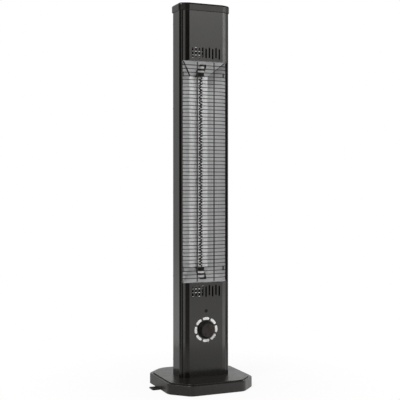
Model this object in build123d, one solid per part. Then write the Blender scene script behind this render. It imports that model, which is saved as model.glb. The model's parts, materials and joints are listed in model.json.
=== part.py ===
from build123d import *
import math
import os

# Outdoor heater: a standing column with a quartz element behind a wire guard.
# Millimetres, +Z up, front towards -Y, origin on the floor under the middle of the base.

# Base
base_width = 237.6
base_depth = 233.2
base_corner_cut = 45.5
base_corner_round = 26.5
base_ledge_height = 26.2
base_step_height = 2.5
base_ledge_inset = 8.0
base_edge_round = 2.0
base_step_round = 0.8
base_wall = 2.5
base_plate_thickness = 4.0
base_plate_gap = 0.4
skirt_gap = 0.5
foot_height = 2.5
foot_radius = 9.0
foot_inset_x = 37.0
foot_inset_y = 38.0
cover_screw_inset_x = 25.0
cover_screw_inset_y = 53.0
cover_screw_head = 1.6
boss_wall = 1.5
wire_way_width = 60.0
wire_way_depth = 20.0

# Column
total_height = 1000.2
column_width = 139.4
column_depth = 58.8
column_middle_y = -8.2
panel_inset = 6.5
panel_setback = 7.1
shoulder_step = 6.3
shoulder_setback = 3.5
front_step = 10.1
panel_thickness = 1.2
panel_foot = 2.6
sheet_bend = 0.8
profile_thickness = 1.8
profile_flange = 8.6
lip_radius = 8.0
lip_angle = 70.0
lip_setback = 14.7
rib_thickness = 1.4
rib_reach = 5.5
slot_setback = 14.6
rear_panel_thickness = 1.2
rear_panel_inset = 0.5
foot_plate_thickness = 3.0
foot_ear_height = 34.0
foot_ear_thickness = 2.0
foot_plate_gap = 0.5

# Cap
cap_height = 20.2
cap_overhang = 1.9
cap_round = 5.0
cap_bottom_chamfer = 1.2
cap_seat_depth = 12.0
cap_top_thickness = 3.0
cap_screw_spread = 80.0
cap_screw_tip = 4.0

# Window, vents
window_bottom = 275.0
window_from_top = 149.7
vent_count = 9
vent_pitch = 9.45
vent_width = 4.2
vent_length = 27.5
vent_stagger = 3.0
upper_vent_margin = 5.8
lower_vent_margin = 7.6
rear_vent_count = 5
rear_vent_pitch = 10.0
rear_vent_length = 28.0
rear_vent_height = 1.2
rear_vent_margin = 24.0

# Reflector
reflector_sheet = 0.8
mouth_inset = 3.3
reflector_flank_run = 33.4
reflector_depth = 36.5
reflector_end_run = 33.0
reflector_flange = 6.0
hook_slot_length = 12.0
hook_slot_width = 3.0
hook_slot_from_end = 33.0
hook_slot_inset = 3.0
end_lip_setback = 10.5
end_narrowing = 1.5
upper_end_seam = 3.2
lower_end_seam = 0.9
end_hole_room = 2.6
end_hole_offset = 2.2
trough_end_gap = 1.0

# Heating element
tube_offset_y = 7.0
tube_radius = 6.5
tube_wall = 1.0
filament_radius = 3.0
filament_wire = 2.3
filament_turn_room = 7.6
plug_from_window = 33.0
plug_length = 7.0
pin_radius = 1.5
pin_tail = 6.0
sleeve_radius = 9.3
sleeve_length = 10.0
ceramic_radius = 10.0
ceramic_length = 39.0
socket_depth = 11.0
band_thickness = 0.9
band_width = 5.0
band_from_end = 4.8
band_pitch = 11.0
band_count = 2
bracket_sheet = 1.5
bracket_width = 64.0
bracket_foot = 16.0
bracket_gap = 2.0
bracket_margin = 3.0
cutout_radius = 8.0
cutout_height = 6.0
cutout_inset = 9.0
cutout_offset_y = 4.0
button_radius = 5.0
button_height = 3.0

# Guard
guard_wire = 2.0
guard_pitch = 9.55
guard_upright = 3.0
guard_upright_spread = 47.6
guard_rail_width = 4.3
guard_rail_thickness = 2.0
guard_bend = 4.0
guard_end_gap = 2.0
guard_end_room = 8.0
guard_setback = 0.9

# Controls
knob_height = 151.4
knob_skirt_radius = 22.5
knob_face_radius = 18.4
knob_length = 15.0
knob_skirt = 2.5
knob_gap = 0.5
knob_face_wall = 3.0
knob_edge_round = 1.5
knob_taper = 2.0
pointer_length = 8.0
pointer_width = 1.6
pointer_depth = 0.6
pointer_margin = 2.5
mark_count = 8
mark_radius = 29.0
mark_width = 6.6
mark_angle = 23.0
mark_thickness = 0.3
shaft_radius = 3.0
bushing_radius = 4.8
nut_flats = 14.0
nut_thickness = 2.5
regulator_size = 32.0
regulator_depth = 24.0
lamp_height = 200.0
lamp_radius = 4.3
lamp_recess = 1.0
lamp_length = 11.0
lamp_round = 1.2
lamp_holder_wall = 2.0

# Fixings, wiring, switch
lug_reach = 20.7
lug_width = 31.0
lug_middle_y = 0.0
lug_overlap = 27.0
lug_thickness = 2.5
lug_hole_radius = 2.75
lug_corner_round = 4.0
lug_screw_inset = 15.0
bolt_radius = 2.5
bolt_inset_x = 23.75
bolt_inset_y = 16.0
bolt_head = 1.8
bolt_tip = 1.0
bolt_nut = 4.0
pillar_radius = 7.0
screw_radius = 1.9
screw_head_radius = 3.5
screw_head = 2.0
rear_screw_rows = 5
rear_screw_from_base = 40.0
rear_screw_from_cap = 30.0
rear_screw_tip = 3.0
lead_radius = 1.5
lead_bend = 7.0
gland_height = 52.0
gland_bore = 4.0
gland_thread = 7.8
gland_dome_radius = 11.0
gland_dome = 12.0
gland_dome_round = 4.0
gland_nut_flats = 24.0
gland_nut_thickness = 5.0
gland_tail = 4.0
terminal_width = 88.0
terminal_depth = 13.0
terminal_height = 20.0
terminal_bottom = 70.0
terminal_count = 7
terminal_pitch = 12.0
terminal_hole_radius = 2.5
terminal_hole_depth = 5.0
pin_loop = 18.0
pin_drop = 36.0
lamp_loop = 10.0
tilt_lead_rise = 20.0
tilt_inset_x = 47.0
tilt_inset_y = 63.0
tilt_size = 24.0
tilt_stroke = 4.5
plunger_radius = 3.0
plunger_collar = 5.0
plunger_foot = 6.0
plunger_foot_height = 2.0
plunger_gap = 0.5
plunger_tip = 1.5
collar_height = 2.0
tilt_room = 15.0
tilt_wall = 1.5
micro_width = 10.0
micro_length = 20.0
micro_height = 11.0
spring_wire = 0.5
spring_turns = 4

# Clearances
fit_gap = 0.1
weld_gap = 0.05
slide_gap = 0.3
shaft_gap = 0.02
loose_gap = 1.0
through_reach = 3.0

# Computed positions
base_top = base_ledge_height + base_step_height
plate_top = foot_height + base_plate_thickness
front_y = column_middle_y - column_depth / 2
back_y = column_middle_y + column_depth / 2
side_x = column_width / 2
side_inner_x = side_x - profile_thickness
profile_back = back_y - rear_panel_thickness
lip_center_x = side_x - lip_radius
lip_center_y = front_y + lip_setback
slot_y = front_y + slot_setback
panel_x = side_x - panel_inset
shoulder_x = panel_x - shoulder_step
front_x = shoulder_x - front_step
rib_inner_x = side_inner_x - rib_reach
panel_back = front_y + panel_thickness
panel_foot_y = slot_y - panel_thickness
column_top = total_height - cap_height + cap_seat_depth
window_top = total_height - window_from_top
window_height = window_top - window_bottom
window_middle = window_bottom + window_height / 2
mouth_y = slot_y - reflector_sheet
floor_y = mouth_y + reflector_depth
tube_y = column_middle_y + tube_offset_y
mouth_x = panel_x - mouth_inset
floor_x = mouth_x - reflector_flank_run
end_lip = window_height / 2 - reflector_sheet
plug_face = window_height / 2 - plug_from_window
coil_room = 2 * (plug_face - filament_wire)
filament_turns = math.floor(coil_room / filament_turn_room) - 1
filament_pitch = coil_room / (filament_turns + 1)
plug_back = plug_face + plug_length
sleeve_start = plug_back - sleeve_length
ceramic_end = plug_back + ceramic_length
tube_half = plug_back + socket_depth - loose_gap
shelf = window_height / 2 + bracket_gap
tube_bore = tube_radius - tube_wall
rail_y = mouth_y - guard_rail_thickness
wire_end_y = rail_y - guard_wire / 2 - weld_gap
upright_y = front_y + guard_upright / 2 + guard_setback
wire_front_y = upright_y + guard_upright / 2 + guard_wire / 2 + weld_gap
rail_inner_x = mouth_x + sheet_bend
rail_middle_x = rail_inner_x + guard_rail_width / 2
terminal_top = terminal_bottom + terminal_height
terminal_y = profile_back - terminal_depth / 2
lead_y = (floor_y + reflector_sheet + profile_back) / 2
tilt_x = base_width / 2 - tilt_inset_x
tilt_y = base_depth / 2 - tilt_inset_y
foot_plate_top = base_top + foot_plate_thickness


# Shared shapes
def block(x0, x1, y0, y1, z0, z1):
    middle = Pos((x0 + x1) / 2, (y0 + y1) / 2, (z0 + z1) / 2)
    return middle * Box(x1 - x0, y1 - y0, z1 - z0)


def rod_z(x, y, z0, z1, radius):
    return Pos(x, y, (z0 + z1) / 2) * Cylinder(radius, z1 - z0)


def rod_y(x, z, y0, y1, radius):
    return Pos(x, (y0 + y1) / 2, z) * Rot(90, 0, 0) * Cylinder(radius, y1 - y0)


def ring_z(x, y, z0, z1, outer, inner):
    return rod_z(x, y, z0, z1, outer) - rod_z(x, y, z0, z1, inner)


def upright(face, z0, z1):
    return extrude(Pos(0, 0, z0) * face, amount=z1 - z0, dir=(0, 0, 1))


def across(face, half_width):
    return extrude(Plane.YZ * face, amount=half_width, both=True)


def through_y(face, x, z, y):
    return Pos(x, y, z) * extrude(Plane.XZ * face, amount=through_reach, both=True)


def polygon(points):
    return make_face(Polyline(*points, close=True))


def both_sides(points):
    return points + [(-x, y) for x, y in reversed(points)]


def mirrored(shape):
    return mirror(shape, about=Plane.YZ)


def flipped(shape):
    return mirror(shape, about=Plane.XY.offset(window_middle))


def side_step(points, distance):
    path = [Vector(*p) for p in points]
    ways = [(b - a).normalized() for a, b in zip(path, path[1:])]
    lefts = [Vector(-w.Y, w.X) for w in ways]
    moved = [path[0] + lefts[0] * distance]
    for point, one, two in zip(path[1:], lefts, lefts[1:]):
        moved.append(point + (one + two) * (distance / (1 + one.dot(two))))
    moved.append(path[-1] + lefts[-1] * distance)
    return [(m.X, m.Y) for m in moved]


def near(vertices, points):
    return [v for v in vertices if any(math.dist((v.X, v.Y), p) < 1e-3 for p in points)]


# A sheet folded along a path: its thickness lies to the left, its folds are rounded
def folded_sheet(points, thickness, bend):
    stepped = side_step(points, thickness)
    face = polygon(points + stepped[::-1])
    tight = []
    wide = []
    for i in range(1, len(points) - 1):
        before = Vector(*points[i]) - Vector(*points[i - 1])
        after = Vector(*points[i + 1]) - Vector(*points[i])
        turns_left = before.cross(after).Z > 0
        tight.append(stepped[i] if turns_left else points[i])
        wide.append(points[i] if turns_left else stepped[i])
    if tight:
        face = fillet(near(face.vertices(), tight), bend)
        face = fillet(near(face.vertices(), wide), bend + thickness)
    return face


def tube_along(path, radius):
    start = Plane(origin=path @ 0, z_dir=path % 0)
    return sweep(start * Circle(radius), path=path)


def lead(*points):
    return tube_along(FilletPolyline(*points, radius=lead_bend), lead_radius)


def hex_y(x, z, y0, y1, flats):
    nut = extrude(RegularPolygon(flats / 2, 6, major_radius=False), amount=y1 - y0)
    return Pos(x, y1, z) * Rot(90, 0, 0) * nut


# Two arcs that join two points and follow a given direction at each
def two_arcs(start, start_way, end, end_way):
    chord = end - start
    ways = start_way + end_way
    a = 2 * start_way.dot(end_way) - 2
    b = -2 * chord.dot(ways)
    c = chord.dot(chord)
    reach = -c / b if abs(a) < 1e-9 else (-b - math.sqrt(b * b - 4 * a * c)) / (2 * a)
    first = start + start_way * reach
    second = end - end_way * reach
    joint = (first + second) / 2
    joint_way = (second - first).normalized()
    return [TangentArc(start, joint, tangent=start_way), TangentArc(joint, end, tangent=joint_way)]


# A coil about the Z axis from height 0, with straight upright ends of one wire diameter
def coil(radius, pitch, turns, wire):
    climb = pitch / (2 * math.pi * radius)

    def at(turn):
        angle = 2 * math.pi * turn
        height = wire + pitch * (turn + 0.5)
        spot = Vector(radius * math.cos(angle), radius * math.sin(angle), height)
        way = Vector(-math.sin(angle), math.cos(angle), climb).normalized()
        return spot, way

    up = Vector(0, 0, 1)
    quarter = -math.pi / 2
    lead_in = Vector(radius * math.cos(quarter), radius * math.sin(quarter), wire)
    lead_out = Vector(radius * math.cos(-quarter), radius * math.sin(-quarter), 0)
    lead_out = lead_out + up * (wire + pitch * (turns + 1))
    edges = [Line(lead_in - up * wire, lead_in)]
    edges += two_arcs(lead_in, up, *at(0))
    for step in range(2 * turns):
        edges += two_arcs(*at(step / 2), *at((step + 1) / 2))
    edges += two_arcs(*at(turns), lead_out, up)
    edges.append(Line(lead_out, lead_out + up * wire))
    return Wire(edges)


# The least gap between neighbouring turns of a coil, from points along its path
def least_gap(path, wire, samples_per_turn, turns):
    count = samples_per_turn * turns
    spots = [path @ (i / count) for i in range(count + 1)]
    far = samples_per_turn // 2
    least = math.inf
    for i in range(0, count - far):
        for j in range(i + far, min(i + 3 * far, count)):
            least = min(least, (spots[i] - spots[j]).length)
    return least - wire


nodes = {}


# Base
def octagon(inset):
    half_x = base_width / 2 - inset
    half_y = base_depth / 2 - inset
    cut = base_corner_cut - inset * (2 - math.sqrt(2))
    front_right = [(half_x - cut, -half_y), (half_x, -half_y + cut)]
    rear_right = [(half_x, half_y - cut), (half_x - cut, half_y)]
    face = polygon(both_sides(front_right + rear_right))
    return fillet(face.vertices(), base_corner_round)


def four_spots(x, y, middle_y):
    return [(sx * x, middle_y + sy * y) for sx in (-1, 1) for sy in (-1, 1)]


bolt_spots = four_spots(side_x - bolt_inset_x, column_depth / 2 - bolt_inset_y, column_middle_y)
cover_screw_spots = four_spots(base_width / 2 - cover_screw_inset_x, base_depth / 2 - cover_screw_inset_y, 0)
foot_spots = four_spots(base_width / 2 - foot_inset_x, base_depth / 2 - foot_inset_y, 0) + [(0, 0)]
wire_way = Box(wire_way_width, wire_way_depth, 2 * foot_plate_top)
wire_way = Pos(0, column_middle_y, plate_top + foot_plate_top) * wire_way


lug_bottom = foot_height - lug_thickness
lug_outer_x = -base_width / 2 - lug_reach
lug_inner_x = -base_width / 2 + lug_overlap
lug_screw_x = -base_width / 2 + lug_screw_inset
lug_hole_x = -base_width / 2 - lug_reach / 2
lug_screw_spots = [(lug_screw_x, lug_middle_y + s * lug_width / 4) for s in (-1, 1)]
lug_notch = lug_width / 2 + slide_gap


def base_cover():
    lower = upright(octagon(0), skirt_gap, base_ledge_height)
    lower = fillet(lower.faces().sort_by(Axis.Z)[-1].edges(), base_edge_round)
    step = upright(octagon(base_ledge_inset), base_ledge_height - base_wall, base_top)
    step = fillet(step.faces().sort_by(Axis.Z)[-1].edges(), base_step_round)
    hollow = upright(octagon(base_wall), skirt_gap, base_ledge_height - base_wall)
    hollow += upright(octagon(base_ledge_inset + base_wall), foot_height, base_top - base_wall)
    notch = block(lug_outer_x, lug_inner_x, -lug_notch, lug_notch, skirt_gap, foot_height + slide_gap)
    cover = lower + step - hollow - Pos(0, lug_middle_y, 0) * notch
    for x, y in bolt_spots:
        cover += rod_z(x, y, plate_top, base_top - base_wall, pillar_radius)
    for x, y in cover_screw_spots:
        cover += rod_z(x, y, plate_top, base_top - base_wall, screw_head_radius + boss_wall)
    for x, y in bolt_spots:
        cover -= rod_z(x, y, foot_height, base_top, bolt_radius + fit_gap)
    for x, y in cover_screw_spots:
        cover -= rod_z(x, y, foot_height, base_ledge_height - 2 * base_wall, screw_radius + fit_gap)
    return cover - wire_way


def base_plate():
    plate = upright(octagon(base_wall + base_plate_gap), foot_height, plate_top)
    for x, y in bolt_spots:
        plate -= rod_z(x, y, foot_height, plate_top, bolt_radius + fit_gap)
    for x, y in cover_screw_spots + lug_screw_spots:
        plate -= rod_z(x, y, foot_height, plate_top, screw_radius + fit_gap)
    return plate - rod_z(tilt_x, tilt_y, foot_height, plate_top, plunger_radius + slide_gap)


def lug_screw(x, y, gap):
    head_bottom = lug_bottom + 2 * fit_gap
    neck = foot_height - slide_gap
    cone = Cone(screw_head_radius + gap, screw_radius + gap, neck - head_bottom)
    cone = Pos(x, y, (head_bottom + neck) / 2) * cone
    return cone + rod_z(x, y, neck, plate_top, screw_radius + gap)


def fixing_lug():
    face = Rectangle(lug_inner_x - lug_outer_x, lug_width)
    face = Pos((lug_outer_x + lug_inner_x) / 2, lug_middle_y) * face
    face = fillet(face.vertices().group_by(Axis.X)[0], lug_corner_round)
    plate = upright(face, lug_bottom, foot_height)
    plate -= rod_z(lug_hole_x, lug_middle_y, lug_bottom, foot_height, lug_hole_radius)
    for x, y in lug_screw_spots:
        plate -= lug_screw(x, y, fit_gap)
        plate -= rod_z(x, y, lug_bottom, lug_bottom + slide_gap, screw_head_radius + fit_gap)
    return plate


def cover_screw(x, y):
    head = rod_z(x, y, foot_height - cover_screw_head, foot_height, screw_head_radius)
    return head + rod_z(x, y, foot_height, base_ledge_height - 2 * base_wall - loose_gap, screw_radius)


def column_bolt(x, y):
    head = rod_z(x, y, foot_height - bolt_head, foot_height, 2 * bolt_radius)
    return head + rod_z(x, y, foot_height, foot_plate_top + bolt_nut + bolt_tip, bolt_radius)


def column_nut(x, y):
    nut = extrude(RegularPolygon(1.6 * bolt_radius, 6, major_radius=False), amount=bolt_nut)
    nut = Pos(x, y, foot_plate_top) * nut
    return nut - rod_z(x, y, foot_plate_top, foot_plate_top + bolt_nut, bolt_radius + weld_gap)


def column_foot():
    ear_outer = side_inner_x
    ear_inner = side_inner_x - foot_ear_thickness
    low_y = slot_y + rib_thickness + foot_plate_gap
    high_y = profile_back - profile_thickness - foot_plate_gap
    plate = block(-ear_outer, ear_outer, low_y, high_y, base_top, foot_plate_top)
    ear = block(ear_inner, ear_outer, low_y, high_y, base_top, base_top + foot_ear_height)
    plate += ear + mirrored(ear)
    for x, y in bolt_spots:
        plate -= rod_z(x, y, base_top, foot_plate_top, bolt_radius + fit_gap)
    return plate - wire_way


nodes["base_cover"] = base_cover()
nodes["base_plate"] = base_plate()
nodes["foot_pads"] = Compound([rod_z(x, y, 0, foot_height, foot_radius) for x, y in foot_spots])
nodes["cover_screws"] = Compound([cover_screw(x, y) for x, y in cover_screw_spots])
nodes["fixing_lug"] = fixing_lug()
nodes["lug_screws"] = Compound([lug_screw(x, y, 0) for x, y in lug_screw_spots])
nodes["column_foot"] = column_foot()
nodes["column_bolts"] = Compound([column_bolt(x, y) for x, y in bolt_spots])
nodes["column_nuts"] = Compound([column_nut(x, y) for x, y in bolt_spots])

# Tip-over switch: the floor holds the plunger up; its spring drives it down when the heater tips
tilt_roof = plate_top + tilt_room
collar_bottom = plate_top + tilt_stroke + plunger_gap
collar_top = collar_bottom + collar_height


def tilt_housing():
    height = tilt_room + tilt_wall
    body = Pos(tilt_x, tilt_y, plate_top + height / 2) * Box(tilt_size, tilt_size, height)
    return body - rod_z(tilt_x, tilt_y, plate_top, tilt_roof, plunger_collar + loose_gap)


def tilt_plunger():
    plunger = rod_z(tilt_x, tilt_y, 0, plunger_foot_height, plunger_foot)
    plunger += rod_z(tilt_x, tilt_y, plunger_foot_height, collar_top + plunger_tip, plunger_radius)
    return plunger + rod_z(tilt_x, tilt_y, collar_bottom, collar_top, plunger_collar)


def plunger_spring():
    radius = (plunger_radius + plunger_collar) / 2 + 2 * fit_gap
    pitch = (tilt_roof - collar_top - 2 * spring_wire) / (spring_turns + 1)
    path = coil(radius, pitch, spring_turns, spring_wire)
    return Pos(tilt_x, tilt_y, collar_top) * tube_along(path, spring_wire / 2)


micro_x = tilt_x - tilt_size / 2 - micro_width / 2
micro_mid = plate_top + micro_height / 2
micro = Pos(micro_x, tilt_y, micro_mid) * Box(micro_width, micro_length, micro_height)
nodes["tilt_housing"] = tilt_housing()
nodes["tilt_plunger"] = tilt_plunger()
nodes["plunger_spring"] = plunger_spring()
nodes["microswitch"] = micro


# Column
def lip_spot(radius, share):
    angle = math.radians(lip_angle * share)
    return (lip_center_x + radius * math.cos(angle), lip_center_y - radius * math.sin(angle))


def side_profile():
    inner_radius = lip_radius - profile_thickness
    flange_x = side_x - profile_flange
    flange_y = profile_back - profile_thickness
    outline = [
        Line((side_x, profile_back), lip_spot(lip_radius, 0)),
        ThreePointArc(lip_spot(lip_radius, 0), lip_spot(lip_radius, 0.5), lip_spot(lip_radius, 1)),
        Line(lip_spot(lip_radius, 1), lip_spot(inner_radius, 1)),
        ThreePointArc(lip_spot(inner_radius, 1), lip_spot(inner_radius, 0.5), lip_spot(inner_radius, 0)),
        Polyline(lip_spot(inner_radius, 0), (side_inner_x, flange_y), (flange_x, flange_y)),
        Polyline((flange_x, flange_y), (flange_x, profile_back), (side_x, profile_back)),
    ]
    profile = upright(make_face(outline), base_top, column_top)
    profile += block(rib_inner_x, side_inner_x, slot_y, slot_y + rib_thickness, base_top, column_top)
    for z in rear_screw_heights:
        profile -= rod_y(rear_screw_x, z, flange_y, profile_back, screw_radius + weld_gap)
    return profile


rear_screw_x = side_x - profile_flange / 2
rear_screw_low = base_top + rear_screw_from_base
rear_screw_high = total_height - cap_height - rear_screw_from_cap
rear_screw_step = (rear_screw_high - rear_screw_low) / (rear_screw_rows - 1)
rear_screw_heights = [rear_screw_low + rear_screw_step * i for i in range(rear_screw_rows)]
rear_screw_spots = [(x, z) for x in (-rear_screw_x, rear_screw_x) for z in rear_screw_heights]
cap_screw_z = total_height - cap_height + cap_seat_depth / 2
cap_screw_spots = [(-cap_screw_spread / 2, cap_screw_z), (cap_screw_spread / 2, cap_screw_z)]
cap_back = back_y + cap_overhang
rear_vent_low = window_bottom - rear_vent_margin - rear_vent_pitch * (rear_vent_count - 1)


def rear_panel():
    half = side_x - rear_panel_inset
    panel = block(-half, half, profile_back, back_y, base_top, column_top)
    slot = rear_vent_length - rear_vent_height
    for i in range(rear_vent_count):
        z = rear_vent_low + i * rear_vent_pitch
        vent = through_y(SlotCenterToCenter(slot, rear_vent_height), 0, z, back_y)
        panel -= vent
        panel -= flipped(vent)
    for x, z in rear_screw_spots + cap_screw_spots:
        panel -= rod_y(x, z, profile_back, back_y, screw_radius + weld_gap)
    return panel - rod_y(0, gland_height, profile_back, back_y, gland_thread + fit_gap)


def rear_screw(x, z):
    head = rod_y(x, z, back_y, back_y + screw_head, screw_head_radius)
    return head + rod_y(x, z, profile_back - profile_thickness - rear_screw_tip, back_y, screw_radius)


panel_side = [
    (panel_x, panel_foot_y),
    (panel_x, front_y + panel_setback),
    (shoulder_x, front_y + shoulder_setback),
    (front_x, front_y),
]
panel_front = [(-x, y) for x, y in panel_side] + panel_side[::-1]
panel_foot_x = panel_x + panel_foot
panel_path = [(-panel_foot_x, panel_foot_y)] + panel_front + [(panel_foot_x, panel_foot_y)]


def vents(middle):
    cuts = []
    for i in range(vent_count):
        x = (i - (vent_count - 1) / 2) * vent_pitch
        z = middle + (vent_stagger / 2 if i % 2 else -vent_stagger / 2)
        hole = through_y(SlotOverall(vent_length, vent_width, rotation=90), x, z, front_y)
        cuts.append(hole)
    return cuts


def front_panel(z0, z1, window_edge):
    panel = upright(folded_sheet(panel_path, panel_thickness, sheet_bend), z0, z1)
    inside = [(panel_x, mouth_y - 2 * slide_gap)] + panel_side[1:]
    ledge = upright(polygon(both_sides(inside)), *window_edge)
    return panel + ledge


vent_half = (vent_length + vent_stagger) / 2


def upper_front_panel():
    panel = front_panel(window_top, column_top, (window_top, window_top + panel_thickness))
    return panel - vents(window_top + upper_vent_margin + vent_half)


def lower_front_panel():
    panel = front_panel(base_top, window_bottom, (window_bottom - panel_thickness, window_bottom))
    panel -= vents(window_bottom - lower_vent_margin - vent_half)
    panel -= rod_y(0, knob_height, front_y, panel_back, bushing_radius + slide_gap)
    return panel - rod_y(0, lamp_height, front_y, panel_back, lamp_radius)


def column_outline():
    front = Polyline(*[(-x, y) for x, y in panel_side[2:]], *panel_side[:1:-1])
    shoulder = Line(panel_side[2], lip_spot(lip_radius, 1))
    lip = ThreePointArc(lip_spot(lip_radius, 1), lip_spot(lip_radius, 0.5), lip_spot(lip_radius, 0))
    side = Line(lip_spot(lip_radius, 0), (side_x, back_y))
    back = Line((side_x, back_y), (-side_x, back_y))
    right = [shoulder, lip, side]
    left = [mirrored(edge) for edge in right]
    return make_face([front, back] + right + left)


def top_cap():
    cap_bottom = total_height - cap_height
    cap = upright(offset(column_outline(), cap_overhang, kind=Kind.INTERSECTION), cap_bottom, total_height)
    cap = fillet(cap.faces().sort_by(Axis.Z)[-1].edges(), cap_round)
    cap = chamfer(cap.faces().sort_by(Axis.Z)[0].edges(), cap_bottom_chamfer)
    cap -= upright(offset(column_outline(), slide_gap, kind=Kind.INTERSECTION), cap_bottom, column_top)
    roof = total_height - cap_top_thickness
    cap -= block(-rib_inner_x, rib_inner_x, slot_y, profile_back - cap_screw_tip, column_top, roof)
    for x, z in cap_screw_spots:
        cap -= rod_y(x, z, back_y, cap_back, screw_radius + weld_gap)
    return cap


def cap_screw(x, z):
    head = rod_y(x, z, cap_back, cap_back + screw_head, screw_head_radius)
    return head + rod_y(x, z, profile_back - cap_screw_tip, cap_back, screw_radius)


right_profile = side_profile()
nodes["side_profile_right"] = right_profile
nodes["side_profile_left"] = mirrored(right_profile)
nodes["rear_panel"] = rear_panel()
nodes["rear_screws"] = Compound([rear_screw(x, z) for x, z in rear_screw_spots])
nodes["upper_front_panel"] = upper_front_panel()
nodes["lower_front_panel"] = lower_front_panel()
nodes["top_cap"] = top_cap()
nodes["cap_screws"] = Compound([cap_screw(x, z) for x, z in cap_screw_spots])


# Reflector: a trough and two sloped end walls
def end_path():
    lip_z = window_middle + end_lip
    return [(front_y + end_lip_setback, lip_z), (mouth_y, lip_z), (floor_y, lip_z - reflector_end_run)]


def past_end(gap):
    """The space behind the upper end wall, from a gap in front of it."""
    lip_z = window_middle + end_lip - gap
    slope = reflector_end_run / reflector_depth
    back = floor_y + through_reach
    over = lip_z + through_reach
    outline = [(mouth_y, lip_z), (back, lip_z - slope * (back - mouth_y)), (back, over), (mouth_y, over)]
    return across(polygon(outline), side_x)


def reflector_trough():
    path = [(-mouth_x - reflector_flange, mouth_y), (-mouth_x, mouth_y), (-floor_x, floor_y)]
    path += [(-x, y) for x, y in reversed(path)]
    sheet = folded_sheet(path, reflector_sheet, sheet_bend)
    trough = upright(sheet, window_bottom + trough_end_gap, window_top - trough_end_gap)
    beyond = past_end(weld_gap)
    trough -= beyond
    trough -= flipped(beyond)
    slot_x = mouth_x - hook_slot_inset
    slot_z = window_top - hook_slot_from_end
    slot = Box(hook_slot_width, 4 * through_reach, hook_slot_length)
    slot = Pos(slot_x, mouth_y + through_reach, slot_z) * slot
    for cut in (slot, mirrored(slot)):
        trough -= cut
        trough -= flipped(cut)
    return trough


def reflector_end(seam):
    strip = across(folded_sheet(end_path(), reflector_sheet, sheet_bend), side_x)
    outline = [(floor_x - seam, floor_y + through_reach), (mouth_x - seam, mouth_y)]
    outline += [(x - end_narrowing, y + end_narrowing) for x, y in panel_side[1:]]
    wall = strip & upright(polygon(both_sides(outline)), window_middle, column_top)
    hole_y = tube_y - end_hole_offset
    hole_radius = ceramic_radius + end_hole_room
    return wall - rod_z(0, hole_y, window_middle, window_top, hole_radius)


nodes["reflector_trough"] = reflector_trough()
nodes["reflector_end_upper"] = reflector_end(upper_end_seam)
nodes["reflector_end_lower"] = flipped(reflector_end(lower_end_seam))


# Heating element: parts of the upper end, measured from the window's middle
def element_ring(start, end, outer, inner):
    return ring_z(0, tube_y, window_middle + start, window_middle + end, outer, inner)


def element_rod(start, end, radius):
    return rod_z(0, tube_y, window_middle + start, window_middle + end, radius)


def end_sleeve():
    sleeve = element_rod(sleeve_start, plug_back, sleeve_radius)
    low = window_middle + sleeve_start
    high = window_middle + plug_back
    sleeve += block(-sleeve_radius, sleeve_radius, tube_y, floor_y - fit_gap, low, high)
    sleeve -= past_end(slide_gap)
    return sleeve - element_rod(sleeve_start, plug_back, tube_radius + fit_gap)


def ceramic_end_piece():
    body = element_ring(plug_back, ceramic_end, ceramic_radius, pin_radius + fit_gap)
    return body - element_rod(plug_back, plug_back + socket_depth, tube_radius + fit_gap)


def filament_plug():
    plug = element_rod(plug_face, plug_back, tube_bore - fit_gap)
    return plug + element_rod(plug_back, ceramic_end + pin_tail, pin_radius)


def end_bracket():
    shelf_z = window_middle + shelf
    path = [(tube_y - ceramic_radius - bracket_margin, shelf_z), (profile_back, shelf_z)]
    path.append((profile_back, shelf_z + bracket_foot))
    bracket = across(folded_sheet(path, bracket_sheet, sheet_bend), bracket_width / 2)
    return bracket - element_rod(shelf, shelf + bracket_sheet, ceramic_radius + weld_gap)


def ceramic_bands():
    starts = [plug_back + band_from_end + band_pitch * i for i in range(band_count)]
    outer = ceramic_radius + band_thickness
    inner = ceramic_radius + weld_gap
    return Compound([element_ring(start, start + band_width, outer, inner) for start in starts])


filament_path = coil(filament_radius, filament_pitch, filament_turns, filament_wire)
filament_gap = least_gap(filament_path, filament_wire, 24, filament_turns)
print("least gap of the filament to itself, mm:", round(filament_gap, 2))
filament = tube_along(filament_path, filament_wire / 2)
nodes["quartz_tube"] = element_ring(-tube_half, tube_half, tube_radius, tube_bore)
nodes["heating_filament"] = Pos(0, tube_y, window_middle - plug_face) * filament
element_end = {
    "filament_plug": filament_plug(),
    "end_sleeve": end_sleeve(),
    "ceramic_end": ceramic_end_piece(),
    "ceramic_band": ceramic_bands(),
    "end_bracket": end_bracket(),
}
for name, shape in element_end.items():
    nodes[name + "_upper"] = shape
    nodes[name + "_lower"] = flipped(shape)
cutout_x = bracket_width / 2 - cutout_inset
cutout_y = tube_y + cutout_offset_y
cutout_z = window_middle + shelf + bracket_sheet
button_z = cutout_z + cutout_height
cutout = rod_z(cutout_x, cutout_y, cutout_z, button_z, cutout_radius)
cutout += rod_z(cutout_x, cutout_y, button_z, button_z + button_height, button_radius)
nodes["thermal_cutout"] = cutout


# Guard: bowed horizontal wires, two uprights, two side rails
def guard_wires():
    right = [(rail_middle_x, wire_end_y), (mouth_x, wire_end_y)]
    right.append((shoulder_x - guard_wire / 2, wire_front_y + shoulder_setback))
    right.append((front_x, wire_front_y))
    points = [(-x, y) for x, y in right] + right[::-1]
    wire = tube_along(FilletPolyline(*points, radius=guard_bend), guard_wire / 2)
    room = window_height - 2 * guard_end_room
    count = math.floor(room / guard_pitch) + 1
    low = window_middle - (count - 1) * guard_pitch / 2
    return Compound([Pos(0, 0, low + i * guard_pitch) * wire for i in range(count)])


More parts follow.
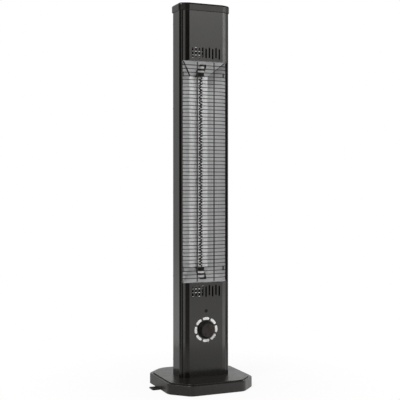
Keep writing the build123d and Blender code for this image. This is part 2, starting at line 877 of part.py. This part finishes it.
guard_half = window_height / 2 - guard_end_gap
guard_low = window_middle - guard_half
guard_high = window_middle + guard_half
rail = block(rail_inner_x, rail_inner_x + guard_rail_width, rail_y, mouth_y, guard_low, guard_high)
guard_rod = rod_z(guard_upright_spread / 2, upright_y, guard_low, guard_high, guard_upright / 2)
nodes["guard_wires"] = guard_wires()
nodes["guard_uprights"] = Compound([guard_rod, mirrored(guard_rod)])
nodes["guard_rail_right"] = rail
nodes["guard_rail_left"] = mirrored(rail)

# Controls
knob_back = front_y - knob_gap
knob_front = knob_back - knob_length
knob_recess = knob_back - nut_thickness - knob_face_wall
bushing_front = front_y - nut_thickness - loose_gap
shaft_back = panel_back + regulator_depth / 2
regulator_back = panel_back + regulator_depth


def control_knob():
    profile = [
        (0, knob_back),
        (knob_skirt_radius, knob_back),
        (knob_skirt_radius, knob_back - knob_skirt),
        (knob_face_radius + knob_taper, knob_back - knob_skirt - knob_edge_round),
        (knob_face_radius, knob_front),
        (0, knob_front),
    ]
    knob = revolve(polygon(profile), axis=Axis.Y)
    knob = fillet(knob.faces().sort_by(Axis.Y)[0].edges(), knob_edge_round)
    knob = Pos(0, 0, knob_height) * knob
    knob -= rod_y(0, knob_height, knob_recess, knob_back, nut_flats / 2 * 1.5)
    knob -= rod_y(0, knob_height, knob_front + knob_face_wall, knob_recess, shaft_radius + shaft_gap)
    half = pointer_width / 2
    top = knob_height + knob_face_radius - pointer_margin
    return knob - block(-half, half, knob_front, knob_front + pointer_depth, top - pointer_length, top)


def dial_marks():
    marks = []
    for i in range(mark_count):
        middle = 90 + i * 360 / mark_count
        arc = CenterArc((0, 0), mark_radius, middle - mark_angle / 2, mark_angle)
        mark = extrude(Plane.XZ * SlotArc(arc, mark_width), amount=mark_thickness)
        marks.append(Pos(0, front_y, knob_height) * mark)
    return Compound(marks)


def regulator_body():
    half = regulator_size / 2
    body = block(-half, half, panel_back, regulator_back, knob_height - half, knob_height + half)
    body += rod_y(0, knob_height, bushing_front, panel_back, bushing_radius)
    return body - rod_y(0, knob_height, bushing_front, shaft_back + slide_gap, shaft_radius + fit_gap)


def bushing_nut():
    nut = hex_y(0, knob_height, front_y - nut_thickness, front_y, nut_flats)
    return nut - rod_y(0, knob_height, front_y - nut_thickness, front_y, bushing_radius + weld_gap)


lamp_front = front_y + lamp_recess
lamp_back = panel_back + lamp_length
holder_back = lamp_back - lamp_holder_wall
nodes["control_knob"] = control_knob()
shaft_front = knob_front + knob_face_wall + 2 * fit_gap
nodes["control_shaft"] = rod_y(0, knob_height, shaft_front, shaft_back, shaft_radius)
nodes["regulator_body"] = regulator_body()
nodes["bushing_nut"] = bushing_nut()
nodes["dial_marks"] = dial_marks()
lens = rod_y(0, lamp_height, lamp_front, lamp_back, lamp_radius - fit_gap)
nodes["lamp_lens"] = fillet(lens.faces().sort_by(Axis.Y)[0].edges(), lamp_round)
lamp_holder = rod_y(0, lamp_height, panel_back, holder_back, lamp_radius + lamp_holder_wall)
nodes["lamp_holder"] = lamp_holder - rod_y(0, lamp_height, panel_back, holder_back, lamp_radius)

# Supply and wiring
gland_inner = profile_back - gland_nut_thickness - gland_tail


def cable_gland():
    dome = rod_y(0, gland_height, back_y, back_y + gland_dome, gland_dome_radius)
    dome = fillet(dome.faces().sort_by(Axis.Y)[-1].edges(), gland_dome_round)
    gland = dome + rod_y(0, gland_height, gland_inner, back_y, gland_thread)
    return gland - rod_y(0, gland_height, gland_inner, back_y + gland_dome, gland_bore)


def gland_nut():
    nut_front = profile_back - gland_nut_thickness
    nut = hex_y(0, gland_height, nut_front, profile_back, gland_nut_flats)
    return nut - rod_y(0, gland_height, nut_front, profile_back, gland_thread + weld_gap)


def terminal_block():
    low_y = profile_back - terminal_depth
    half = terminal_width / 2
    middle = (terminal_bottom + terminal_top) / 2
    strip = block(-half, half, low_y, profile_back, terminal_bottom, terminal_top)
    for x in terminal_ways:
        strip -= rod_y(x, middle, low_y, low_y + terminal_hole_depth, terminal_hole_radius)
    return strip


terminal_ways = [(i - (terminal_count - 1) / 2) * terminal_pitch for i in range(terminal_count)]
upper_pin = window_middle + ceramic_end + pin_tail
lower_pin = window_middle - ceramic_end - pin_tail
upper_lead_x = terminal_ways[0]
tilt_lead_x = terminal_ways[5]
nodes["cable_gland"] = cable_gland()
nodes["gland_nut"] = gland_nut()
nodes["terminal_block"] = terminal_block()
nodes["lead_upper"] = lead(
    (0, tube_y, upper_pin),
    (0, tube_y, upper_pin + pin_loop),
    (upper_lead_x, tube_y, upper_pin + pin_loop),
    (upper_lead_x, lead_y, upper_pin + pin_loop),
    (upper_lead_x, lead_y, terminal_top),
)
nodes["lead_lower"] = lead(
    (0, tube_y, lower_pin),
    (0, tube_y, lower_pin - pin_drop),
    (0, terminal_y, lower_pin - pin_drop),
    (0, terminal_y, terminal_top),
)
regulator_leads = [
    lead((x, regulator_back, knob_height), (x, terminal_y, knob_height), (x, terminal_y, terminal_top))
    for x in (-terminal_pitch, terminal_pitch)
]
nodes["regulator_leads"] = Compound(regulator_leads)
nodes["lamp_lead"] = lead(
    (0, lamp_back, lamp_height),
    (0, lamp_back + lamp_loop, lamp_height),
    (-2 * terminal_pitch, lamp_back + lamp_loop, lamp_height),
    (-2 * terminal_pitch, terminal_y, lamp_height),
    (-2 * terminal_pitch, terminal_y, terminal_top),
)
nodes["tilt_lead"] = lead(
    (micro_x - micro_width / 2, tilt_y, micro_mid),
    (tilt_lead_x, tilt_y, micro_mid),
    (tilt_lead_x, column_middle_y, micro_mid),
    (tilt_lead_x, column_middle_y, terminal_bottom - tilt_lead_rise),
    (tilt_lead_x, terminal_y, terminal_bottom - tilt_lead_rise),
    (tilt_lead_x, terminal_y, terminal_bottom),
)

os.makedirs("parts", exist_ok=True)
for name, shape in nodes.items():
    export_step(shape, os.path.join("parts", name + ".step"))
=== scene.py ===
import json
import math

import bmesh
import bpy
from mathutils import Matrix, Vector

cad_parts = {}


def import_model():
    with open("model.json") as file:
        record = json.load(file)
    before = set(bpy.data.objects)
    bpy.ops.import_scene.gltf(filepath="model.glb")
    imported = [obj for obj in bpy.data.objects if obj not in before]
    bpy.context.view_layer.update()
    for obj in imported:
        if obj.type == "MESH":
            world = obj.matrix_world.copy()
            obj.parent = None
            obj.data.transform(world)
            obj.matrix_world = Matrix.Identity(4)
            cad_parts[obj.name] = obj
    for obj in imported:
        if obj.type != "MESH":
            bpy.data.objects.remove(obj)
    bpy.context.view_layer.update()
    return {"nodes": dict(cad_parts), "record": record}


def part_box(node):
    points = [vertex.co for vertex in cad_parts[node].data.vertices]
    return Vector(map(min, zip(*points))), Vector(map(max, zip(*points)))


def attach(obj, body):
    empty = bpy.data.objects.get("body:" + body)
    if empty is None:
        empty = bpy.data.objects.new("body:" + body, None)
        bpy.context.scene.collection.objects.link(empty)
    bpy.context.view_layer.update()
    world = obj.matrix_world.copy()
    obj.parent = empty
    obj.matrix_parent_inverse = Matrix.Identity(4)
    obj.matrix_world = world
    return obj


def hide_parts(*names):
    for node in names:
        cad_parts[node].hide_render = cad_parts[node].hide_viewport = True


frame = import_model()
scene = bpy.context.scene


# Helpers for node trees and meshes
class Nodes:
    """A node tree, with short calls that add nodes to it and feed their sockets."""

    def __init__(self, tree):
        self.tree = tree

    def feed(self, value, socket):
        """Links an output to a socket, or sets the socket to a plain value."""
        if isinstance(value, bpy.types.NodeSocket):
            self.tree.links.new(value, socket)
        else:
            socket.default_value = value

    def add(self, kind, inputs=None, **settings):
        node = self.tree.nodes.new(kind)
        for key, value in settings.items():
            setattr(node, key, value)
        for key, value in (inputs or {}).items():
            self.feed(value, node.inputs[key])
        return node

    def ranged(self, value, start, end=(0.0, 1.0)):
        """The value carried over from one range to another."""
        inputs = {"From Min": start[0], "From Max": start[1], "To Min": end[0], "To Max": end[1]}
        return self.add("ShaderNodeMapRange", {"Value": value, **inputs}).outputs["Result"]

    def math(self, operation, *values):
        inputs = dict(enumerate(values))
        return self.add("ShaderNodeMath", inputs, operation=operation).outputs["Value"]


class Look(Nodes):
    """A material with a Principled shader."""

    noise_span = (0.3, 0.7)

    def __init__(self, name, color, roughness, metallic=0.0):
        self.material = bpy.data.materials.new(name)
        self.material.use_nodes = True
        super().__init__(self.material.node_tree)
        self.shader = self.tree.nodes["Principled BSDF"]
        self.set("Base Color", (*color, 1.0))
        self.set("Roughness", roughness)
        self.set("Metallic", metallic)
        self.place = self.add("ShaderNodeTexCoord").outputs["Object"]

    def set(self, socket, value):
        self.feed(value, self.shader.inputs[socket])

    def stretched(self, scale):
        inputs = {"Scale": scale, "Vector": self.place}
        return self.add("ShaderNodeMapping", inputs).outputs["Vector"]

    def noise(self, scale, detail, roughness=0.55, place=None):
        inputs = {"Scale": scale, "Detail": detail, "Roughness": roughness}
        inputs["Vector"] = place or self.place
        return self.add("ShaderNodeTexNoise", inputs).outputs["Fac"]

    def tone(self, fac, dark, light):
        """Colour from dark to light over the span that a noise mostly keeps to."""
        ramp = self.add("ShaderNodeValToRGB", {"Fac": fac})
        stops = zip(ramp.color_ramp.elements, self.noise_span, (dark, light))
        for element, position, color in stops:
            element.position = position
            element.color = (*color, 1.0)
        self.set("Base Color", ramp.outputs["Color"])

    def gloss(self, fac, low, high):
        """Roughness from low to high over the same span."""
        self.set("Roughness", self.ranged(fac, self.noise_span, (low, high)))

    def bump(self, fac, strength, distance):
        inputs = {"Strength": strength, "Distance": distance, "Height": fac}
        self.set("Normal", self.add("ShaderNodeBump", inputs).outputs["Normal"])


def grey(value, warm=0.0):
    return (value * (1 + warm), value, value * (1 - warm))


def mesh_object(name, bm):
    mesh = bpy.data.meshes.new(name)
    bm.to_mesh(mesh)
    bm.free()
    made = bpy.data.objects.new(name, mesh)
    scene.collection.objects.link(made)
    return made


# Materials
def paint(name, level, rough):
    """Black paint with a faint warm mottle, a fine orange peel and a warm sheen."""
    look = Look(name, grey(level), rough)
    mottle = look.noise(scale=160.0, detail=4.0)
    look.tone(mottle, grey(level * 0.85, warm=0.15), grey(level * 1.15, warm=0.15))
    look.gloss(look.noise(scale=38.0, detail=5.0), rough - 0.03, rough + 0.03)
    look.bump(look.noise(scale=1100.0, detail=2.0), strength=0.12, distance=0.0002)
    look.set("Specular Tint", (1.0, 0.985, 0.95, 1.0))
    return look


def brushed(name, level, rough, stretch, warm=0.0, metallic=1.0):
    """Metal with a grain that runs along the axis of the smallest stretch."""
    look = Look(name, grey(level, warm), rough, metallic)
    grain = look.noise(scale=1.0, detail=5.0, roughness=0.6, place=look.stretched(stretch))
    look.tone(grain, grey(level * 0.9, warm), grey(level * 1.08, warm))
    look.gloss(grain, rough - 0.05, rough + 0.07)
    look.bump(grain, strength=0.12, distance=0.0001)
    return look


def moulded(name, level, rough, grain=900.0, warm=0.0):
    """Plastic, rubber or print with a fine grain."""
    look = Look(name, grey(level, warm), rough)
    mottle = look.noise(scale=220.0, detail=4.0)
    look.tone(mottle, grey(level * 0.88, warm), grey(level * 1.1, warm))
    look.gloss(look.noise(scale=90.0, detail=3.0), rough - 0.05, rough + 0.06)
    look.bump(look.noise(scale=grain, detail=2.0), strength=0.2, distance=0.00015)
    return look


def blackened_steel():
    look = moulded("blackened_steel", level=0.006, rough=0.5, grain=1300.0)
    look.set("Specular IOR Level", 0.3)
    return look


def quartz():
    """Clear tube that shows mostly at its edges, with faint drawn lines along it."""
    look = Look("clear_quartz", (0.97, 0.98, 0.985), 0.02)
    look.set("IOR", 1.46)
    facing = look.add("ShaderNodeLayerWeight", {"Blend": 0.3}).outputs["Facing"]
    look.set("Alpha", look.ranged(facing, (0.0, 1.0), (0.015, 0.28)))
    look.gloss(look.noise(scale=60.0, detail=4.0), 0.0, 0.04)
    along = look.stretched((300.0, 300.0, 12.0))
    lines = look.noise(scale=1.0, detail=2.0, roughness=0.5, place=along)
    look.bump(lines, strength=0.03, distance=0.0001)
    return look


def ceramic():
    """White ceramic under a clear glaze."""
    look = Look("white_ceramic", grey(0.9, warm=0.01), 0.22)
    mottle = look.noise(scale=140.0, detail=5.0)
    look.tone(mottle, grey(0.88, warm=0.02), grey(0.94, warm=0.01))
    look.gloss(look.noise(scale=300.0, detail=3.0), 0.16, 0.34)
    look.bump(look.noise(scale=700.0, detail=3.0), strength=0.08, distance=0.0001)
    look.set("Coat Weight", 1.0)
    look.set("Coat Roughness", 0.12)
    return look


def lens():
    look = Look("dark_lens", (0.008, 0.009, 0.008), 0.12)
    mottle = look.noise(scale=400.0, detail=3.0)
    look.tone(mottle, (0.006, 0.007, 0.006), (0.011, 0.012, 0.011))
    look.gloss(look.noise(scale=900.0, detail=2.0), 0.08, 0.2)
    look.set("Specular IOR Level", 0.12)
    return look


def wound_wire():
    """Dark wire with fine rings round it, which follow the coil's own map."""
    look = Look("filament_wire", grey(0.006), 0.6)
    look.set("Specular IOR Level", 0.25)
    look.tone(look.noise(scale=500.0, detail=4.0), grey(0.004), grey(0.009, warm=0.1))
    look.gloss(look.noise(scale=900.0, detail=3.0), 0.5, 0.7)
    along = look.add("ShaderNodeUVMap", uv_map=coil_map).outputs["UV"]
    inputs = {"Scale": 1.0, "Vector": along}
    rings = look.add("ShaderNodeTexWave", inputs, wave_type="BANDS", bands_direction="X")
    look.bump(rings.outputs["Fac"], strength=0.6, distance=0.0002)
    return look


def knob():
    """Black moulding; its front face is painted paler and brown-black, a painted highlight for
    the face that meets the light, so the near-black sides read as painted shade.
    """
    look = Look("knob_plastic_painted_lit_face", grey(0.005), 0.5)
    look.set("Specular IOR Level", 0.2)
    face_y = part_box("control_knob")[0].y
    depth = look.add("ShaderNodeSeparateXYZ", {"Vector": look.place}).outputs["Y"]
    # Mask of the front face: the painted highlight goes there, and the sides keep the near-black
    # painted shade
    face = look.ranged(depth, (face_y + 0.0012, face_y + 0.0004))
    grain = look.math("MULTIPLY", face, look.noise(scale=420.0, detail=3.0))
    # Painted highlight and shade: paler brown-black on the face, near black on the sides
    look.tone(grain, grey(0.003), (0.055, 0.043, 0.039))
    look.gloss(look.noise(scale=90.0, detail=3.0), 0.45, 0.6)
    look.bump(look.noise(scale=900.0, detail=2.0), strength=0.2, distance=0.00015)
    return look


coil_map = "winding"
upright_grain = (900.0, 900.0, 9.0)
level_grain = (9.0, 900.0, 900.0)
looks = {
    "body_paint": paint("satin_black_paint", level=0.003, rough=0.17),
    "base_paint": paint("base_black_paint", level=0.011, rough=0.34),
    "plate_steel": paint("coated_plate", level=0.008, rough=0.38),
    "guard": paint("guard_black", level=0.006, rough=0.36),
    "black_screw": paint("screw_black", level=0.014, rough=0.34),
    "reflector": brushed("rolled_aluminium", 0.8, 0.32, upright_grain, metallic=0.42),
    "zinc_steel": brushed("zinc_plate", 0.55, 0.34, (260.0, 260.0, 260.0), warm=0.02),
    "spring": brushed("spring_steel", 0.5, 0.3, (500.0, 500.0, 500.0)),
    "dark_steel": blackened_steel(),
    "quartz": quartz(),
    "filament": wound_wire(),
    "ceramic": ceramic(),
    "knob": knob(),
    "marks": moulded("white_print", 0.95, 0.5, grain=1500.0, warm=0.01),
    "black_plastic": moulded("black_moulding", 0.018, 0.5),
    "pale_plastic": moulded("pale_moulding", 0.6, 0.45, grain=700.0, warm=0.03),
    "pads": moulded("pad_rubber", 0.016, 0.75, grain=500.0),
    "lead": moulded("lead_silicone", 0.55, 0.55, grain=600.0, warm=0.04),
    "lens": lens(),
}
# Painted light: the upper end sheet gets a paler, less metallic copy of the reflector's
# aluminium, painted lighter for the light it catches; the lower end keeps the reflector's own
# look
upper_end_painted_lighter = brushed("aluminium_painted_lighter", 0.95, 0.36, level_grain, metallic=0.2)
cap_look = paint("cap_black_paint", level=0.006, rough=0.24)
cap_look.set("Specular IOR Level", 0.36)
for part in frame["record"]["subparts"]:
    node_mesh = frame["nodes"][part["node"]].data
    node_look = cap_look if part["node"] == "top_cap" else looks[part["material_slot"]]
    node_mesh.materials.clear()
    node_mesh.materials.append(node_look.material)


# Heating filament: one smooth coil of wire with straight ends, in the place of the CAD coil
def filament_path(low, high, wire, reach, turns):
    """Points up the coil, from a straight end in its middle plane to another."""
    per_turn = 36
    ease_steps = 8
    ease_power = 1.5
    middle = (low + high) / 2
    radius = reach - wire / 2
    pitch = (high.z - low.z - 2 * wire) / (turns + 1)

    def on_coil(angle, height):
        out = Vector((math.cos(angle), math.sin(angle), 0.0)) * radius
        return Vector((middle.x + out.x, middle.y + out.y, height))

    points = []
    for i in range(turns * per_turn + 1):
        height = low.z + wire + pitch / 2 + pitch * i / per_turn
        points.append(on_coil(2 * math.pi * i / per_turn, height))

    def lead_in(end, height, way):
        """The straight end and the quarter turn from it to the coil."""
        start = Vector((middle.x, middle.y - way * radius, height))
        near = points[0] if way > 0 else points[-1]
        out = [Vector((start.x, start.y, end)), start]
        for k in range(1, ease_steps + 1):
            share = k / (ease_steps + 1)
            turn = (1 - share) * math.pi / 2
            angle = -turn if way > 0 else 2 * math.pi * turns + turn
            out.append(on_coil(angle, height + (near.z - height) * share ** ease_power))
        return out

    first = lead_in(low.z, low.z + wire, 1)
    last = lead_in(high.z, high.z - wire, -1)
    return first + points + last[::-1]


def filament():
    wire = 0.0033
    ring_sides = 12
    rings_per_metre = 1200.0
    low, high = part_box("heating_filament")
    path = filament_path(low, high, wire, reach=0.005, turns=65)
    bm = bmesh.new()
    layer = bm.loops.layers.uv.new(coil_map)
    rings = []
    lengths = []
    length = 0.0
    side = Vector((1, 0, 0))
    for i, spot in enumerate(path):
        before = path[max(i - 1, 0)]
        after = path[min(i + 1, len(path) - 1)]
        way = (after - before).normalized()
        side = (side - way * side.dot(way)).normalized()
        up = way.cross(side)
        length += (spot - before).length
        lengths.append(length)
        ring = []
        for k in range(ring_sides):
            turn = 2 * math.pi * k / ring_sides
            out = side * math.cos(turn) + up * math.sin(turn)
            ring.append(bm.verts.new(spot + out * wire / 2))
        rings.append(ring)
    for i, (one, two) in enumerate(zip(rings, rings[1:])):
        for k in range(ring_sides):
            beside = (k + 1) % ring_sides
            face = bm.faces.new((one[k], one[beside], two[beside], two[k]))
            face.smooth = True
            corners = ((0, k), (0, k + 1), (1, k + 1), (1, k))
            for corner, (step, around) in zip(face.loops, corners):
                corner[layer].uv = (lengths[i + step] * rings_per_metre, around / ring_sides)
    bm.faces.new(rings[0][::-1])
    bm.faces.new(rings[-1])
    piece = mesh_object("filament_coil", bm)
    piece.data.materials.append(looks["filament"].material)
    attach(piece, "stand")
    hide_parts("heating_filament")


# Reflector ends: the CAD sheets with holes drawn out to the front, clear of the ceramics' bands
def end_cutter(low, high, outward, seam):
    """A rod for the hole, and where seam gives an outline, a prism for the edge."""
    hole_sides = 64
    hole_radius = 0.0118
    hole_shift = 0.0086
    kept_edge = 0.004
    tube_low, tube_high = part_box("quartz_tube")
    hole_y = (tube_low.y + tube_high.y) / 2 - hole_shift
    hole_z = (low.z + high.z) / 2 - outward * kept_edge
    bm = bmesh.new()
    bmesh.ops.create_cone(bm, cap_ends=True, segments=hole_sides, radius1=hole_radius,
                          radius2=hole_radius, depth=high.z - low.z - kept_edge)
    bmesh.ops.translate(bm, verts=bm.verts, vec=Vector((0.0, hole_y, hole_z)))
    if seam:
        under = [bm.verts.new((x, y, low.z - kept_edge)) for x, y in seam]
        over = [bm.verts.new((x, y, high.z + kept_edge)) for x, y in seam]
        bm.faces.new(under[::-1])
        bm.faces.new(over)
        for i in range(len(seam)):
            bm.faces.new((under[i - 1], under[i], over[i], over[i - 1]))
    return mesh_object("end_cutter", bm)


def opened_end(node_name, piece_name, outward, look, seam=()):
    cutter = end_cutter(*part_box(node_name), outward, seam)
    piece = bpy.data.objects.new(piece_name, frame["nodes"][node_name].data.copy())
    scene.collection.objects.link(piece)
    cut = piece.modifiers.new("hole", "BOOLEAN")
    cut.operation = "DIFFERENCE"
    cut.solver = "EXACT"
    cut.object = cutter
    bpy.context.view_layer.update()
    shaped = piece.evaluated_get(bpy.context.evaluated_depsgraph_get())
    sheet = bpy.data.meshes.new_from_object(shaped)
    piece.modifiers.clear()
    piece.data = sheet
    sheet.materials.clear()
    sheet.materials.append(look.material)
    bpy.data.objects.remove(cutter)
    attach(piece, "stand")
    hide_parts(node_name)


left_seam = (
    (-0.056, -0.021), (-0.054, -0.021), (-0.0386, -0.005), (-0.0216, 0.0145), (-0.0275, 0.0145),
)
filament()
# The upper end sheet takes the aluminium painted lighter, a painted highlight; the lower end
# takes the reflector's own look
opened_end("reflector_end_upper", "upper_end_sheet", 1, upper_end_painted_lighter, left_seam)
opened_end("reflector_end_lower", "lower_end_sheet", -1, looks["reflector"])


# Floor, world and lamps
class Stage(Nodes):
    """An empty node tree for the floor or the world."""

    def __init__(self, tree):
        super().__init__(tree)
        tree.nodes.clear()

    def ramp(self, value, start, end, stops):
        """Brightness along stops of (place, level), for a value that runs from start to end."""
        node = self.add("ShaderNodeValToRGB", {"Fac": self.ranged(value, (start, end))})
        elements = node.color_ramp.elements
        while len(elements) < len(stops):
            elements.new(0.5)
        for element, (place, level) in zip(elements, stops):
            element.position = (place - start) / (end - start)
            element.color = (level, level, level, 1.0)
        return node.outputs["Color"]

    def blend(self, share, one, two):
        rest = self.math("SUBTRACT", 1.0, share)
        parts = (self.math("MULTIPLY", one, rest), self.math("MULTIPLY", two, share))
        return self.math("ADD", *parts)

    def mix(self, share, one, two):
        return self.add("ShaderNodeMixShader", {"Fac": share, 1: one, 2: two}).outputs["Shader"]

    def clear_view(self):
        """One for what the camera sees, straight or through glass."""
        path = self.add("ShaderNodeLightPath").outputs
        return self.math("MAXIMUM", path["Is Camera Ray"], path["Is Transmission Ray"])


white = (1.0, 1.0, 1.0, 1.0)
floor_color = (0.88, 0.88, 0.88, 1.0)
floor_sides = 96
floor_radius = 0.6
shadow_white = 0.9
shadow_reach = 0.5

# Levels of the floor in reflections, by X in metres
mirror_stops = ((-0.6, 0.1), (-0.1, 0.1), (0.0, 0.34), (0.1, 0.95), (0.16, 1.0))

# Levels of the studio, by degrees to the right of the front: at the horizon, below it, and a glow
around_stops = (
    (-180.0, 0.7), (-165.0, 0.6), (-150.0, 0.6), (-142.0, 0.02), (-46.0, 0.02), (-41.0, 1.6),
    (-34.0, 1.6), (-29.0, 0.02), (2.0, 0.02), (16.0, 0.45), (40.0, 0.6), (84.0, 1.1),
    (105.0, 1.1), (122.0, 2.0), (144.0, 2.0), (155.0, 1.1), (180.0, 1.0),
)
bounce_stops = (
    (-180.0, 1.0), (-142.0, 0.9), (-132.0, 0.3), (-46.0, 0.3), (-41.0, 1.8), (-34.0, 1.8),
    (-29.0, 0.3), (0.0, 0.28), (14.0, 1.4), (35.0, 1.65), (53.0, 2.5), (66.0, 2.5),
    (77.0, 0.35), (95.0, 0.35), (115.0, 2.6), (145.0, 2.6), (156.0, 1.1), (180.0, 1.0),
)
glow_stops = (
    (-180.0, 0.0), (4.0, 0.0), (14.0, 1.6), (32.0, 1.6), (42.0, 0.0), (180.0, 0.0),
)

# Shares and levels by the height of a direction, from straight down to straight up
bounce_band = ((-1.0, 1.0), (-0.14, 1.0), (-0.08, 0.0), (0.0, 0.0))
deep_band = ((-1.0, 1.0), (-0.34, 1.0), (-0.26, 0.0), (0.0, 0.0))
deep_level = 0.42
glow_band = (
    (-1.0, 0.0), (-0.11, 0.0), (-0.07, 0.55), (0.06, 0.55), (0.1, 0.0), (0.2, 0.0),
    (0.22, 1.0), (0.29, 1.0), (0.32, 0.0), (1.0, 0.0),
)
above_stops = ((-1.0, 1.0), (0.25, 1.0), (0.42, 0.45), (0.6, 0.1), (1.0, 0.1))
flag_top = ((0.0, 0.0), (0.2, 0.0), (0.42, 1.0), (1.0, 1.0))


def floor():
    """A pale sheet that is white to the camera away from the object, and keeps its shadow."""
    bm = bmesh.new()
    bmesh.ops.create_circle(bm, cap_ends=True, segments=floor_sides, radius=floor_radius)
    material = bpy.data.materials.new("pale_floor")
    material.use_nodes = True
    stage = Stage(material.node_tree)
    lit = stage.add("ShaderNodeBsdfDiffuse", {"Color": floor_color}).outputs["BSDF"]
    bare = stage.add("ShaderNodeEmission").outputs["Emission"]
    place = stage.add("ShaderNodeTexCoord").outputs["Object"]
    reach = stage.add("ShaderNodeVectorMath", {0: place}, operation="LENGTH").outputs["Value"]
    clear = stage.ramp(reach, 0.0, floor_radius, ((0.0, shadow_white), (shadow_reach, 1.0)))
    seen = stage.math("MULTIPLY", stage.clear_view(), clear)
    across = stage.add("ShaderNodeSeparateXYZ", {"Vector": place}).outputs["X"]
    sheen = stage.ramp(across, -floor_radius, floor_radius, mirror_stops)
    glossy = stage.add("ShaderNodeLightPath").outputs["Is Glossy Ray"]
    share = stage.math("MAXIMUM", seen, stage.math("MULTIPLY", glossy, sheen))
    stage.add("ShaderNodeOutputMaterial", {"Surface": stage.mix(share, lit, bare)})
    piece = mesh_object("floor", bm)
    piece.data.materials.append(material)


def world():
    """White to the camera; for light and reflections a studio with dark flags on the left."""
    made = bpy.data.worlds.new("studio")
    made.use_nodes = True
    stage = Stage(made.node_tree)
    direction = stage.add("ShaderNodeTexCoord").outputs["Generated"]
    split = stage.add("ShaderNodeSeparateXYZ", {"Vector": direction}).outputs
    height = split["Z"]
    front = stage.math("MULTIPLY", split["Y"], -1.0)
    turn = stage.math("ARCTAN2", split["X"], front)

    def by_turn(stops):
        radians = [(math.radians(degrees), level) for degrees, level in stops]
        return stage.ramp(turn, -math.pi, math.pi, radians)

    below = stage.ramp(height, -1.0, 0.0, bounce_band)
    deep = stage.ramp(height, -1.0, 0.0, deep_band)
    high = stage.ramp(height, 0.0, 1.0, flag_top)
    above = stage.ramp(height, -1.0, 1.0, above_stops)
    level = stage.blend(below, by_turn(around_stops), by_turn(bounce_stops))
    level = stage.blend(high, stage.blend(deep, level, deep_level), above)
    band = stage.ramp(height, -1.0, 1.0, glow_band)
    level = stage.math("ADD", level, stage.math("MULTIPLY", by_turn(glow_stops), band))
    room = stage.add("ShaderNodeBackground", {"Color": white, "Strength": level})
    bare = stage.add("ShaderNodeBackground", {"Color": white})
    ends = (room.outputs["Background"], bare.outputs["Background"])
    stage.add("ShaderNodeOutputWorld", {"Surface": stage.mix(stage.clear_view(), *ends)})
    scene.world = made


def softbox(name, turn, distance, height, width, tall, power, aim=None):
    """A lamp, turn degrees to the right of the front, that faces the column level or at aim."""
    lamp = bpy.data.lights.new(name, "AREA")
    lamp.shape = "RECTANGLE"
    lamp.size = width
    lamp.size_y = tall
    lamp.energy = power
    piece = bpy.data.objects.new(name, lamp)
    angle = math.radians(turn)
    spot = Vector((distance * math.sin(angle), -distance * math.cos(angle), height))
    target = Vector((0.0, 0.0, height if aim is None else aim))
    piece.location = spot
    piece.rotation_euler = (target - spot).to_track_quat("-Z", "Y").to_euler()
    scene.collection.objects.link(piece)


floor()
world()
softbox("front_box", turn=23.0, distance=2.2, height=1.55, width=0.9, tall=1.0, power=3.8)
softbox("right_box", turn=61.0, distance=2.2, height=1.38, width=0.25, tall=0.6, power=2.0)
softbox("key_box", turn=-58.0, distance=2.3, height=2.6, width=1.1, tall=1.1, power=68.0, aim=0.5)

# Camera at the photograph's angle
camera_place = (-0.88792, -2.08442, 0.5367)
camera_tilt = 89.32495
camera_turn = -23.04511
camera = bpy.data.cameras.new("camera")
camera.sensor_width = 36.0
camera.lens = 77.0563
camera.shift_y = -0.02
camera.clip_end = 50.0
viewer = bpy.data.objects.new("camera", camera)
viewer.location = camera_place
viewer.rotation_euler = (math.radians(camera_tilt), 0.0, math.radians(camera_turn))
scene.collection.objects.link(viewer)
scene.camera = viewer
scene.view_settings.view_transform = "Standard"
